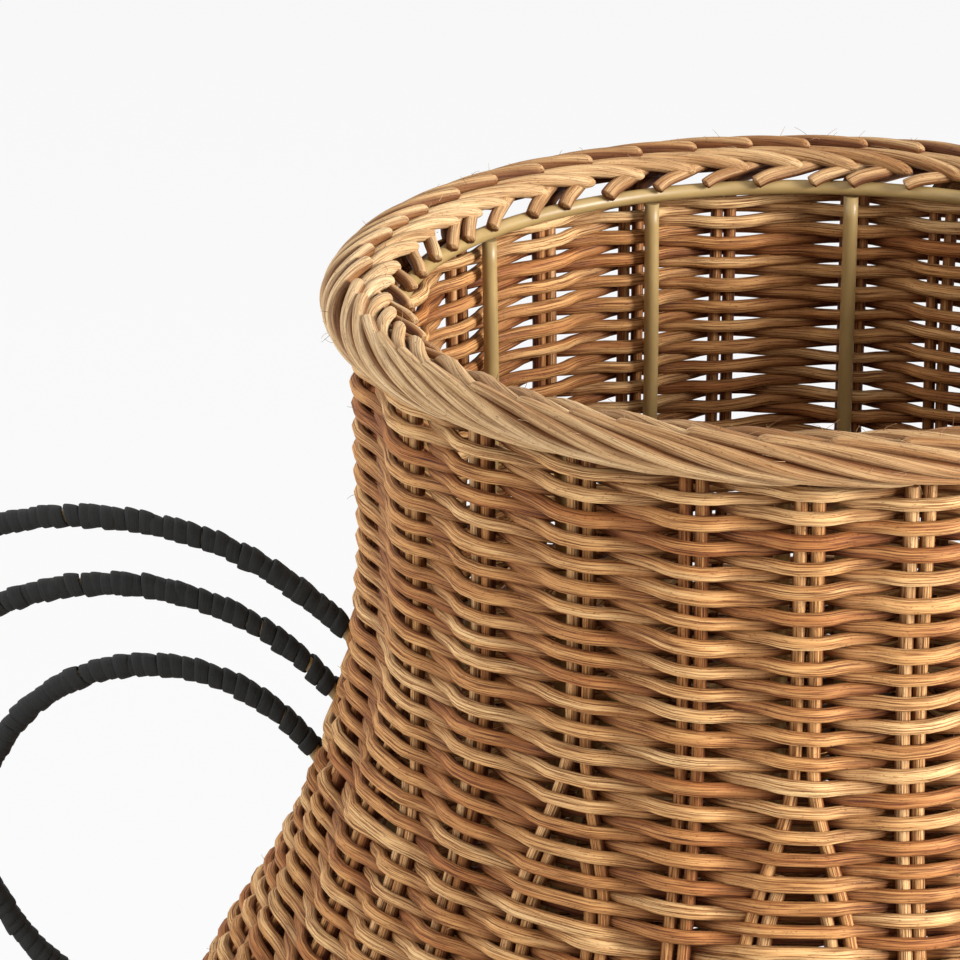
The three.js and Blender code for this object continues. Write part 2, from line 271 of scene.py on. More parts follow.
def wall_out(angle, slope):
    """The direction straight out of the wall."""
    out_radius, out_height = at_slope(slope, outline_out)
    return turned(out_radius, angle, out_height)


def slope_at(height):
    return np.interp(-np.asarray(height), -outline[:, 1], outline_slope)


middle_radius, middle_height = wall_place(slope_at(WALL_HEIGHT / 2), 0)
print("radius at mid height:", round(float(middle_radius) / MM, 1), "mm")

# %% [markdown]
# ## Reeds as tubes
# A reed is a long tube with a nearly round section. Curves with a bevel would do, but a vase has
# hundreds of reeds, so numpy sweeps rings of points along whole sheaves of them at once. Each
# point also remembers where it lies in the straight reed, in a "grain" attribute, so that fibres
# can run along every bend. A "tone" attribute makes each reed a little lighter or darker, and a
# "hidden" one is 1 on the side that lies against other reeds, where the colour is darkened as
# painted shade.


# %% Sweep rings along a sheaf of reeds
def unit(vectors):
    return vectors / np.maximum(np.linalg.norm(vectors, axis=-1, keepdims=True), 1e-12)


def sweep(path, out, thick, sides, rng, closed=False, flat=1.0, facing=1.0):
    """Tubes along paths of (reeds, steps, 3). out points away from the wall, thick is half the
    tube's height, and flat is the share of it that the tube keeps outwards. facing is 1 where the
    tube shows its outer side, and -1 where it shows its inner side."""
    if closed:
        ahead = unit(np.roll(path, -1, axis=1) - np.roll(path, 1, axis=1))
    else:
        ahead = unit(np.gradient(path, axis=1))
    side = unit(np.cross(ahead, out))
    up = np.cross(side, ahead)
    turn = np.linspace(0, 2 * math.pi, sides, endpoint=False)
    thick, flat = (np.broadcast_to(size, path.shape[:2])[:, :, None, None] for size in (thick, flat))
    over = np.cos(turn)[:, None] * thick * flat
    across = np.sin(turn)[:, None] * thick
    points = path[:, :, None] + over * up[:, :, None] + across * side[:, :, None]
    lengths = np.linalg.norm(np.diff(path, axis=1), axis=2)
    run = np.concatenate([np.zeros((len(path), 1)), np.cumsum(lengths, axis=1)], axis=1)
    run = np.broadcast_to(run[:, :, None, None], over.shape)
    grain = np.concatenate([over, across, run], axis=3)
    grain += rng.uniform(0, 1, (len(path), 1, 1, 3))
    tone = rng.uniform(0, 1, len(path))
    # hidden carries painted shade: 0 on the side that shows, 1 on the side turned away from it
    hidden = 0.5 - 0.5 * np.broadcast_to(facing, path.shape[:2])[:, :, None] * np.cos(turn)
    return {"points": points, "grain": grain, "tone": tone, "hidden": hidden, "closed": closed}


print("a reed has a grain, a tone and a hidden side")


# %% Faces and a flat map for each sheaf
def sheaf_faces(count, steps, sides, closed):
    """Corner numbers of the tubes' quads, and of the caps on open ends."""
    numbers = np.arange(count * steps * sides).reshape(count, steps, sides)
    here = numbers if closed else numbers[:, :-1]
    there = np.roll(numbers, -1, axis=1) if closed else numbers[:, 1:]
    quads = np.stack([here, np.roll(here, -1, 2), np.roll(there, -1, 2), there], axis=-1)
    caps = None if closed else np.stack([numbers[:, 0, ::-1], numbers[:, -1]], axis=1)
    return quads, caps


CAP_SHARE = 0.02
CAP_RADIUS = 0.4
EDGE_SHARE = 0.03


def strip_map(count, stretches, sides, columns, rows, first):
    """Each tube unrolled into its own cell of a grid, with room for its caps at both ends."""
    cell = first + np.arange(count)
    left = (cell % columns)[:, None, None, None] / columns
    low = (cell // columns)[:, None, None, None] / rows
    u = CAP_SHARE + (1 - 2 * CAP_SHARE) * np.arange(stretches + 1) / stretches
    v = EDGE_SHARE + (1 - 2 * EDGE_SHARE) * np.arange(sides + 1) / sides
    u0, u1 = u[:-1, None, None], u[1:, None, None]
    v0, v1 = v[None, :-1, None], v[None, 1:, None]
    corners = [np.broadcast_to(np.concatenate(np.broadcast_arrays(a, b), axis=2), (stretches, sides, 2))
               for a, b in ((u0, v0), (u0, v1), (u1, v1), (u1, v0))]
    quads = np.stack(corners, axis=2)[None].repeat(count, axis=0)
    turn = np.linspace(0, 2 * math.pi, sides, endpoint=False)
    disc = CAP_RADIUS * np.stack([CAP_SHARE * np.cos(turn), np.sin(turn)], axis=1)
    caps = np.stack([disc + (CAP_SHARE / 2, 0.5), disc + (1 - CAP_SHARE / 2, 0.5)])
    caps = caps[None].repeat(count, axis=0)
    place = np.concatenate([left, low], axis=3)
    size = np.array([1 / columns, 1 / rows])
    return quads * size + place[:, :, :, None], caps * size + place


print("each tube has a strip of its own on the map")


# %% A mesh from plain arrays, and its place in the scene
def mesh_of(name, points, corners, totals):
    """A mesh from its points, the corners of its faces in a row, and each face's count of them."""
    mesh = bpy.data.meshes.new(name)
    mesh.vertices.add(len(points))
    mesh.vertices.foreach_set("co", points.astype(np.float32).ravel())
    mesh.loops.add(len(corners))
    mesh.loops.foreach_set("vertex_index", corners.astype(np.int32))
    mesh.polygons.add(len(totals))
    mesh.polygons.foreach_set("loop_start", (np.cumsum(totals) - totals).astype(np.int32))
    mesh.polygons.foreach_set("use_smooth", np.equal(totals, 4))
    mesh.update(calc_edges=True)
    return mesh


def dress(name, mesh, finish, nodes):
    """Puts a mesh in the scene with its finish, on the vase's one body."""
    piece = bpy.data.objects.new(name, mesh)
    bpy.context.collection.objects.link(piece)
    mesh.materials.append(finish)
    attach(piece, "root")
    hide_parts(*nodes)
    print(name, "has", len(mesh.polygons), "faces")
    return piece


print("every piece rides on root, the vase's one body")


# %% One mesh from several sheaves
def reed_piece(name, sheaves, finish, nodes, columns=1):
    """An object made of sheaves of reeds, which stands for CAD nodes."""
    made = {key: [] for key in ("points", "grain", "tone", "hidden", "corners", "totals", "places")}
    cells = sum(len(s["points"]) for s in sheaves)
    rows = -(-cells // columns)
    first_cell = first_point = 0
    for sheaf in sheaves:
        count, steps, sides = sheaf["points"].shape[:3]
        quads, caps = sheaf_faces(count, steps, sides, sheaf["closed"])
        quad_map, cap_map = strip_map(count, quads.shape[1], sides, columns, rows, first_cell)
        made["points"].append(sheaf["points"].reshape(-1, 3))
        made["grain"].append(sheaf["grain"].reshape(-1, 3))
        made["tone"].append(np.repeat(sheaf["tone"], steps * sides))
        made["hidden"].append(sheaf["hidden"].ravel())
        faces = [(quads, quad_map, 4)]
        if caps is not None:
            faces.append((caps, cap_map, sides))
        for numbers, places, corners in faces:
            made["corners"].append(numbers.reshape(-1) + first_point)
            made["totals"].append(np.full(numbers.size // corners, corners))
            made["places"].append(places.reshape(-1, 2))
        first_cell += count
        first_point += count * steps * sides
    made = {key: np.concatenate(values) for key, values in made.items()}
    mesh = mesh_of(name, made["points"], made["corners"], made["totals"])
    grain = mesh.attributes.new("grain", "FLOAT_VECTOR", "POINT")
    grain.data.foreach_set("vector", made["grain"].astype(np.float32).ravel())
    for key in ("tone", "hidden"):
        values = mesh.attributes.new(key, "FLOAT", "POINT")
        values.data.foreach_set("value", made[key].astype(np.float32))
    flat_map = mesh.uv_layers.new(name="OFBake")
    flat_map.uv.foreach_set("vector", made["places"].astype(np.float32).ravel())
    return dress(name, mesh, finish, nodes)


print("a sheaf of reeds becomes one mesh")

# %% [markdown]
# ## Rattan finishes
# Rattan core has fine grooves along it, streaks from straw to red brown, and dark specks where
# the skin was planed off. An image would repeat and blur, so noise is stretched along the grain
# attribute instead. The grooves darken the colour and also feed the bump, so that light catches
# them. The side of a reed that lies against others is darkened as painted shade.


# %% Stretched noise and ramps
def grain_noise(tree, grain, width, length, detail):
    """Noise that is so wide across the reed and so long along it."""
    scaled = add_node(
        tree, "VectorMath", {0: grain, 1: (1 / width, 1 / width, 1 / length)}, operation="MULTIPLY")
    noise = add_node(
        tree, "TexNoise", {"Vector": scaled.outputs[0], "Scale": 1.0, "Detail": detail, "Roughness": 0.6})
    return noise.outputs["Fac"]


def colour_ramp(tree, value, stops):
    """Colours by a value, from stops of a place and a colour."""
    ramp = add_node(tree, "ValToRGB", {"Fac": value})
    elements = ramp.color_ramp.elements
    while len(elements) < len(stops):
        elements.new(0.5)
    for element, (at, colour) in zip(elements, stops):
        element.position = at
        element.color = colour
    return ramp.outputs["Color"]


def multiply(tree, one, other, share=1.0):
    """One colour darkened by another."""
    mixed = add_node(
        tree, "Mix", {"Factor": share, "A": one, "B": other}, data_type="RGBA", blend_type="MULTIPLY")
    return mixed.outputs["Result"]


print("noise can run along the grain")

# %% The rattan tree
FIBRE_WIDTH, FIBRE_LENGTH = 0.24 * MM, 9 * MM
LINE_WIDTH, LINE_LENGTH = 0.36 * MM, 24 * MM
STREAK_WIDTH, STREAK_LENGTH = 1.9 * MM, 45 * MM
SPECK_WIDTH, SPECK_LENGTH = 0.35 * MM, 0.8 * MM
GROOVE_DEPTH = 0.2 * MM
WHITE = (1, 1, 1, 1)
# Ramps of a noise value and the colour that it stands for
GROOVES = [(0.36, (0.3, 0.2, 0.13, 1)), (0.5, (0.84, 0.8, 0.76, 1)), (0.6, WHITE)]
LINES = [(0.35, (0.5, 0.38, 0.28, 1)), (0.45, WHITE)]
SPECKS = [(0.63, WHITE), (0.74, (0.36, 0.26, 0.18, 1))]
SPECKLED = 0.7
# Painted shade for the side of a reed that lies against others
CREVICE_SHADE = (0.34, 0.2, 0.1, 1)


def rattan(name, colours, lined, shade_span):
    """A reed finish between three colours, from the darkest reeds to the palest. lined is how
    strongly the grooves show, and the last argument gives where painted shade on the hidden side begins
    and ends."""
    material, tree, shader = new_finish(name)
    grain = add_node(tree, "Attribute", attribute_name="grain").outputs["Vector"]
    tone = add_node(tree, "Attribute", attribute_name="tone").outputs["Fac"]
    hidden = add_node(tree, "Attribute", attribute_name="hidden").outputs["Fac"]
    fibre = grain_noise(tree, grain, FIBRE_WIDTH, FIBRE_LENGTH, 2.0)
    line = grain_noise(tree, grain, LINE_WIDTH, LINE_LENGTH, 1.0)
    streak = grain_noise(tree, grain, STREAK_WIDTH, STREAK_LENGTH, 2.0)
    speck = grain_noise(tree, grain, SPECK_WIDTH, SPECK_LENGTH, 1.0)
    wander = add_node(tree, "Math", {0: streak, 1: 1.6, 2: -0.8}, operation="MULTIPLY_ADD")
    shade = add_node(tree, "Math", {0: tone, 1: wander.outputs[0]}, operation="ADD")
    base = colour_ramp(tree, shade.outputs[0], list(zip((0.0, 0.5, 1.0), colours)))
    colour = multiply(tree, base, colour_ramp(tree, fibre, GROOVES), lined)
    colour = multiply(tree, colour, colour_ramp(tree, line, LINES), lined)
    colour = multiply(tree, colour, colour_ramp(tree, speck, SPECKS), SPECKLED)
    # Painted shade: the colour darkens on the hidden side of the reed
    colour = multiply(tree, colour, colour_ramp(tree, hidden, list(zip(shade_span, (WHITE, CREVICE_SHADE)))))
    tree.links.new(colour, shader.inputs["Base Color"])
    gloss = add_node(tree, "MapRange", {"Value": fibre, "To Min": 0.78, "To Max": 0.6})
    tree.links.new(gloss.outputs[0], shader.inputs["Roughness"])
    relief = add_node(tree, "Math", {0: fibre, 1: line}, operation="ADD")
    bump = add_node(
        tree, "Bump", {"Height": relief.outputs[0], "Strength": 0.8, "Distance": GROOVE_DEPTH})
    tree.links.new(bump.outputs["Normal"], shader.inputs["Normal"])
    shader.inputs["Specular IOR Level"].default_value = 0.3
    return material


print("the grooves are", round(GROOVE_DEPTH / MM, 2), "mm deep")

# %% Three rattan finishes
weave_colours = linear(176, 114, 61), linear(211, 158, 98), linear(232, 192, 136)
# The stakes are a little paler than the weave: painted light, for the light that reaches them between the
# rows
stake_colours = linear(183, 121, 66), linear(220, 165, 103), linear(240, 194, 138)
border_colours = linear(164, 118, 72), linear(205, 168, 120), linear(224, 194, 150)
weave_finish = rattan("rattan_weave", weave_colours, lined=1.0, shade_span=(0.25, 0.75))
stake_finish = rattan("rattan_stake", stake_colours, lined=1.0, shade_span=(0.25, 0.8))
border_finish = rattan("rattan_border", border_colours, lined=0.65, shade_span=(0.07, 0.33))
print("rattan finishes:", weave_finish.name, stake_finish.name, border_finish.name)

# %% [markdown]
# ## Where the stakes stand
# Stakes are the upright reeds that the weavers pass round. They stand in pairs, two pairs to each
# frame rod. Below the neck the pair beside a rod parts into two, and each half gets a second reed,
# so that 24 columns become 36. They were set by hand, so each column is a little off its place.

# %% Column angles
ROD_COUNT = 12
NECK_COLUMNS = 2 * ROD_COUNT
COLUMN_TURN = 360 // NECK_COLUMNS
LEG_SPREAD = 5 * DEGREE
OFF_PLACE = 1.5
# Some columns, named by their even place in degrees, and how far off it they were set
HAND_SET = {
    0: 0.0, 105: 2.0, 120: 0.5, 135: -0.5, 150: 1.8, 180: 0.0,
    210: 4.0, 225: 4.0, 240: 4.5, 255: 4.0, 270: 2.5,
}
stake_rng = np.random.default_rng(11)
column_shift = stake_rng.uniform(-OFF_PLACE, OFF_PLACE, NECK_COLUMNS)
for place, shift in HAND_SET.items():
    column_shift[place // COLUMN_TURN] = shift
neck_angles = (np.arange(NECK_COLUMNS) * COLUMN_TURN + column_shift) * DEGREE
body_angles = np.sort(np.concatenate([
    neck_angles[0::2] - LEG_SPREAD, neck_angles[0::2] + LEG_SPREAD, neck_angles[1::2]]))
print(len(neck_angles), "columns in the neck,", len(body_angles), "below it")

# %% How a pair parts, and how a reed wavers
PART_FROM, PART_TO = 393 * MM, 354 * MM


def soft_step(value, low, high):
    """0 before low, 1 past high, and an easy rise between them."""
    share = np.clip((value - low) / (high - low), 0, 1)
    return share * share * (3 - 2 * share)


def parting(height):
    """How far a parted pair has opened at a height: 0 in the neck, 1 below it."""
    return soft_step(height, PART_FROM, PART_TO)


def waver(slope, every, size, rng):
    """Chance shifts down a slope, with one drawn at every so many steps."""
    return np.interp(slope, slope[::every], rng.normal(0, size, len(slope[::every])))


print("pairs are half open at", round((PART_FROM + PART_TO) / 2 / MM, 1), "mm")

# %% Stakes as reeds
STAKE_DEPTH = 4.2 * MM
STAKE_THICK = 1.42 * MM
STAKE_STEP = 5 * MM
STAKE_SIDES = 8
STAKE_TOP, BY_STAKE_TOP, STAKE_FOOT = 449 * MM, 372 * MM, 7 * MM
PAIR_HALF = 1.6 * MM
SWAY, SINK = 0.22 * MM, 0.12 * MM


def stake_reed(angle, spread, beside, top, rng):
    """One reed down the wall, beside the middle of a column that moves off its angle by spread
    where the pair parts. Its flanks get the most painted shade, its inner side less, and its outer side
    none."""
    slope = np.arange(slope_at(top), slope_at(STAKE_FOOT), STAKE_STEP)
    radius, height = wall_place(slope, STAKE_DEPTH)
    sway = waver(slope, 9, SWAY, rng)
    angle = angle + spread * parting(height) + (beside + sway) / radius
    depth = STAKE_DEPTH + waver(slope, 7, SINK, rng)
    path = wall_point(angle, slope, depth)[None]
    thick = STAKE_THICK * (1 + 0.05 * rng.normal())
    reed = sweep(path, wall_out(angle, slope)[None], thick, STAKE_SIDES, rng)
    reed["hidden"] = 3 * reed["hidden"] * (1 - reed["hidden"]) + 0.45 * reed["hidden"]
    return reed


stakes = []
for column, angle in enumerate(neck_angles):
    parts = column % 2 == 0
    for way in (-1, 1):
        spread = way * LEG_SPREAD if parts else 0
        stakes.append(stake_reed(angle, spread, way * PAIR_HALF, STAKE_TOP, stake_rng))
        if parts:
            stakes.append(stake_reed(angle, spread, -way * PAIR_HALF, BY_STAKE_TOP, stake_rng))
stake_nodes = [f"stake_{i + 1:02d}" for i in range(NECK_COLUMNS)]
reed_piece("stakes", stakes, stake_finish, stake_nodes)

# %% [markdown]
# ## The weave
# In plain weave each row goes over one column and behind the next, and the row below does the
# opposite. A damp reed takes sharp bends: it lies straight across the stakes, turns in right beside
# them and eases through the middle of the wall, so a wave with flat tops and sharp corners looks
# truer than a cosine. Where rows cross they squeeze each other, and rows bend round the handle
# wires that come through the wall.

# %% Rows of the weave
REED_TALL = 1.52 * MM
REED_SPREAD = 0.08
ROW_PITCH = 2.42 * MM
FIRST_ROW, LAST_GAP = 2.6 * MM, 1.4 * MM
ENOUGH_ROWS = 400
BODY_TOP = 355 * MM
weave_rng = np.random.default_rng(5)
row_thick = REED_TALL * np.clip(1 + REED_SPREAD * weave_rng.normal(size=ENOUGH_ROWS), 0.85, 1.15)
row_steps = ROW_PITCH * (row_thick[:-1] + row_thick[1:]) / (2 * REED_TALL)
row_slopes = FIRST_ROW + np.concatenate([[0], np.cumsum(row_steps)])
row_slopes = row_slopes[row_slopes < SLOPE_LENGTH - LAST_GAP]
row_heights = wall_place(row_slopes, STAKE_DEPTH)[1]
print(len(row_slopes), "rows,", int((row_heights > BODY_TOP).sum()), "of them on the neck's columns")

# %% Places where handle wires come through
WIRE_RADIUS = 1.5 * MM
HANDLE_HEIGHT = 0.726 * WALL_HEIGHT
ARC_SEARCH = 2000
ARC_RADIUS = {"outer": 73 * MM, "middle": 58 * MM, "inner": 40 * MM}
ARC_CENTRE = {
    place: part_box(f"right_handle_{place}_core")[1][0] - radius - WIRE_RADIUS
    for place, radius in ARC_RADIUS.items()
}


def arc_meets(place, depth, way):
    """The turn at which an arc, upwards or downwards, gets this deep into the wall."""
    turn = way * np.linspace(0, math.pi, ARC_SEARCH)
    height = HANDLE_HEIGHT + ARC_RADIUS[place] * np.sin(turn)
    gap = ARC_CENTRE[place] + ARC_RADIUS[place] * np.cos(turn) - wall_place(slope_at(height), depth)[0]
    return turn[np.argmax(gap < 0)]


wire_slopes = []
for place in ARC_RADIUS:
    for way in (1, -1):
        turn = arc_meets(place, STAKE_DEPTH, way)
        wire_slopes.append(float(slope_at(HANDLE_HEIGHT + ARC_RADIUS[place] * math.sin(turn))))
print("wires cross the wall at", [round(s / MM) for s in wire_slopes], "mm down its slope")

# %% Bends of the rows
# Slow waves: their size in mm, how many go round the vase, and the mm of slope to a radian of them
WAVES = ((0.35, 3, 24), (0.3, 7, -15), (0.2, 13, 9))
PUSH = 1.7 * MM
PUSH_ALONG, PUSH_ACROSS = 8 * MM, 7 * MM
WIRE_RING = 115 * MM
PHASES = 8
# More phases are drawn than these waves take, so that a wave can be added and the rest stays
wave_phase = weave_rng.uniform(0, 2 * math.pi, PHASES)


def nearest_turn(angle):
    """The same angle, between half a turn backwards and half a turn forwards."""
    return np.angle(np.exp(1j * angle))


def row_wander(angle, slope):
    """How far a row lies below its even place: slow waves, and a way round each handle wire."""
    bend = 0
    for (size, count, run), phase in zip(WAVES, wave_phase):
        bend = bend + size * np.sin(count * angle + slope / (run * MM) + phase)
    bend = bend * MM
    for wire in wire_slopes:
        off = slope - wire
        for side in (0, math.pi):
            beside = nearest_turn(angle - side) * WIRE_RING
            bend += PUSH * np.sign(off) * np.exp(-np.abs(off) / PUSH_ALONG - (beside / PUSH_ACROSS) ** 2)
    return bend


print("rows wander by up to", sum(size for size, count, run in WAVES), "mm")

# %% Rows that go over and under
STEPS_PER_COLUMN = 10
ROW_SIDES = 8
REED_FLAT = 0.92
FLOAT_OUT = 2.55 * MM
STRAIGHT = 0.15
STRAIGHT_PARTED = 0.2
DIP = 1.75
SQUEEZE = 0.06
HANG, LOOSE, SWELL = 0.13 * MM, 0.06, 0.06


def between_columns(values, share):
    """Values given at the columns, spread evenly over the steps from each column to the next."""
    following = np.roll(values, -1, axis=1)
    return (values[:, :, None] * (1 - share) + following[:, :, None] * share).reshape(len(values), -1)


def woven_rows(numbers, columns, parted, rng):
    """Closed reeds for these rows, on these column angles. parted marks the columns that part."""
    count = len(columns)
    share = np.arange(STEPS_PER_COLUMN) / STEPS_PER_COLUMN
    ends = np.append(columns, columns[0] + 2 * math.pi)
    angle = (ends[:-1, None] * (1 - share) + ends[1:, None] * share).ravel()
    straight = STRAIGHT + STRAIGHT_PARTED * parting(row_heights[numbers])[:, None] * parted
    ahead = np.roll(straight, -1, axis=1)
    crossed = (share - straight[:, :, None]) / (1 - straight - ahead)[:, :, None]
    sign = np.where((numbers[:, None] + np.arange(count)) % 2, -1, 1)[:, :, None]
    across = 1 - 2 * np.clip(crossed, 0, 1)
    bar = (sign * np.sign(across) * np.abs(across) ** DIP).reshape(len(numbers), -1)
    hang = between_columns(rng.normal(0, HANG, (len(numbers), count)), share)
    loose = 1 + between_columns(rng.normal(0, LOOSE, (len(numbers), count)), share)
    slope = row_slopes[numbers][:, None] + row_wander(angle[None], row_slopes[numbers][:, None]) + hang
    angle = np.broadcast_to(angle, slope.shape)
    path = wall_point(angle, slope, STAKE_DEPTH - FLOAT_OUT * bar * loose)
    waves = rng.integers(3, 9, (len(numbers), 1))
    swell = 1 + SWELL * np.sin(angle * waves + rng.uniform(0, 6, (len(numbers), 1)))
    squeezed = 1 - SQUEEZE * (1 - np.abs(bar)) ** 3
    thick = row_thick[numbers][:, None] * swell * squeezed
    # facing=bar gives painted shade to the side of each float that is turned away from the side it shows
    return sweep(path, wall_out(angle, slope), thick, ROW_SIDES, rng, closed=True,
                 flat=REED_FLAT / squeezed, facing=bar)


print("a float lies straight for", 2 * STRAIGHT, "of the way to the next column")

# %% Bands of the woven wall
BAND_ROWS = 32
PALE_ROWS = 3
neck_rows = np.flatnonzero(row_heights > BODY_TOP)
body_rows = np.flatnonzero(row_heights <= BODY_TOP)
bands = [("weave_neck", neck_rows, neck_angles, np.arange(NECK_COLUMNS) % 2 == 0)]
for i in range(0, len(body_rows), BAND_ROWS):
    name = f"weave_body_{i // BAND_ROWS + 1}"
    bands.append((name, body_rows[i:i + BAND_ROWS], body_angles, np.zeros(len(body_angles))))
for name, numbers, columns, parted in bands:
    sheaf = woven_rows(numbers, columns, parted, weave_rng)
    sheaf["tone"] = np.where(numbers < PALE_ROWS, 0.9, 0.08 + 0.8 * sheaf["tone"])
    reed_piece(name, [sheaf], weave_finish, ["woven_wall"])

# %% [markdown]
# ## The rolled border
# The stakes end in a thick rolled border. Each of the 48 stakes bends out over the wall, climbs the
# roll's outer face at a slant, goes over the top and is tucked in at a seam. A second row runs on
# from the seam to the inner edge, and short cut tails lean the other way below it. A strand is
# drawn once, as places round the roll's oval section, and then copied round the mouth. Hands leave
# the tips uneven, so those of the near side stand where the photo has them. Strands at the sides
# are a little fuller than those at the front and back, and are painted paler there, as painted
# light that falls on the sides.

# %% Strands of the border by their turn round the roll
BORDER_RADIUS = 93 * MM
BORDER_HEIGHT = 455.05 * MM
ROLL_OVER, ROLL_UP = 5.67 * MM, 3.42 * MM
STRANDS = 2 * NECK_COLUMNS
NEAR_TIPS = [
    158, 163.5, 169, 176, 181.5, 190.5, 196, 203.7, 209.8, 215.7, 221.5, 230.3, 237.3, 244.3,
    250.2, 258.4, 266.4]
# Each place is a turn round the mouth and a roll round the section, in degrees, and a sinking in mm
OUTER_ROW = [
    (34.5, -108, -2.2), (34.2, -104, -0.9), (33, -92, -0.1), (31, -72, 0), (28.5, -52, 0),
    (25.5, -35, 0), (22, -18.5, 0), (18.2, 3, 0), (13.3, 29, 0), (8.3, 51, -0.05), (5, 61.5, -0.2),
    (2, 68, -0.35), (0, 71, -0.4)]
INNER_ROW = [
    (9, 66, 3.4), (6, 80, 2.8), (3, 92, 2.2), (0, 102, 1.7), (-4, 116, 1.15), (-8, 130, 0.6),
    (-12, 147, 0), (-15, 163, -0.3), (-17, 175, -0.45), (-18, 180, -0.45)]
border_rng = np.random.default_rng(23)
far_tips = np.linspace(NEAR_TIPS[-1], NEAR_TIPS[0] + 360, STRANDS - len(NEAR_TIPS) + 2)[1:-1]
tips = np.concatenate([NEAR_TIPS, far_tips]) * DEGREE
spacing = (np.roll(tips, -1) - np.roll(tips, 1)) % (2 * math.pi) / 2
print("strand tips lie", np.round(np.array([spacing.min(), spacing.max()]) / DEGREE, 1), "degrees apart")

# %% Strands laid round the mouth
STRAND_STEPS = 44
TIP_STEPS = 8
TABLE_STEPS = 16
STAKE_RING = BORDER_RADIUS - 2.2 * MM


def smooth_steps(table, weights, end):
    """Places along a smooth line through a table, even by length, closer over its rounded end.
    weights turn the table's columns into mm."""
    line = smooth_line(np.array(table, dtype=float), TABLE_STEPS)
    run = np.append(0, np.cumsum(np.linalg.norm(np.diff(line, axis=0) * weights, axis=1)))
    near_end = run[-1] - end + end * np.sin(np.linspace(0, math.pi / 2, TIP_STEPS + 1)[1:])
    at = np.append(np.linspace(0, run[-1] - end, STRAND_STEPS - TIP_STEPS), near_end)
    rounded = np.sqrt(np.clip(1 - ((at - run[-1] + end) / end).clip(0) ** 2, 0.01, 1))
    return [np.interp(at, run, line[:, i]) for i in range(3)] + [rounded]


def ringed(angle, over, up):
    """Points about the roll's middle line."""
    return turned(BORDER_RADIUS + over, angle, BORDER_HEIGHT + up)


stake_turn = PAIR_HALF / STAKE_RING
stake_angles = np.sort(np.concatenate([neck_angles - stake_turn, neck_angles + stake_turn]))
starts = tips + OUTER_ROW[0][0] * DEGREE
pulls = [nearest_turn(np.roll(stake_angles, k) - starts) for k in range(STRANDS)]
pull = min(pulls, key=lambda angles: np.abs(angles).max())
print("stakes pull the strands aside by up to", np.round(np.abs(pull).max() / DEGREE, 1), "degrees")

# %% One row of the border
STRAND_SIDES = 12
ROW_WEIGHTS = (1.6, 0.085, 1)
PULL_FROM, PULL_TO = 20, 34
FRONT = -90 * DEGREE
SEAM_BACK = 36
SEAM_FROM, SEAM_TO = 58, 84
UNEVEN, UNEVEN_TIP, TIP_TURN = 0.5, 3.5, 3
ROUGH = 0.05 * MM


def border_row(table, angles, thick, flat, end, fade, rng):
    """Strands along a table of turn, roll and sinking. The seam lies further in away from the
    front, and fade says how soon that wears off along the strand."""
    turn, roll, sunk, rounded = smooth_steps(table, ROW_WEIGHTS, end)
    angle = angles[:, None] + turn * DEGREE + pull[:, None] * soft_step(turn, PULL_FROM, PULL_TO)
    aside = np.abs(nearest_turn(angles - FRONT)) / DEGREE
    seam = SEAM_BACK * soft_step(aside, SEAM_FROM, SEAM_TO)[:, None]
    uneven = UNEVEN + UNEVEN_TIP * np.exp(-np.abs(turn - turn[-1]) / TIP_TURN)
    roll = (roll + fade(turn, seam) + uneven * rng.normal(size=(STRANDS, 1))) * DEGREE
    sunk = sunk * MM + ROUGH * rng.normal(size=(STRANDS, 1))
    path = ringed(angle, (ROLL_OVER - sunk) * np.cos(roll), (ROLL_UP - sunk) * np.sin(roll))
    out = unit(ringed(angle, np.cos(roll) * MM, np.sin(roll) * MM) - ringed(angle, 0, 0))
    return sweep(path, out, thick[:, None] * rounded, STRAND_SIDES, rng, flat=flat)


print("the seam lies up to", SEAM_BACK, "degrees further in")

# %% The two rows of the border
STRAND_THICK, LEAF_THICK = 1.36 * MM, 1.5 * MM
FULL_SPACING = 7.2 * DEGREE
# Strands are painted palest, as if lit, towards this side and the one across from it
LIT_SIDE = 190 * DEGREE
LEAF_SHIFT = 3.2 * DEGREE
LEAF_SHADE = 0.3


def outer_fade(turn, seam):
    """The outer row follows the seam near its tips."""
    return seam * np.exp(-turn / 10)


def inner_fade(turn, seam):
    """The inner row starts at the seam and ends at the inner edge."""
    return (seam - SEAM_BACK) * soft_step(turn, INNER_ROW[-1][0], 0)


fullness = 0.4 + 0.6 * spacing / FULL_SPACING
sideways = np.cos(tips - LIT_SIDE) ** 2
outer_thick = STRAND_THICK * fullness * (1 + 0.1 * sideways)
inner_thick = LEAF_THICK * fullness
outer_row = border_row(
    OUTER_ROW, tips, outer_thick, flat=1.15, end=2.0, fade=outer_fade, rng=border_rng)
inner_row = border_row(
    INNER_ROW, tips + LEAF_SHIFT, inner_thick, flat=1.0, end=4.2, fade=inner_fade, rng=border_rng)
# Painted light: strands at the sides get a paler tone, as if lit
for row in (outer_row, inner_row):
    row["tone"] = 0.6 * sideways + 0.3 * row["tone"]
# The inner row gets less of the painted shade on its hidden side
inner_row["hidden"] = LEAF_SHADE * inner_row["hidden"]
print("the outer row climbs", OUTER_ROW[0][0], "degrees round the mouth")

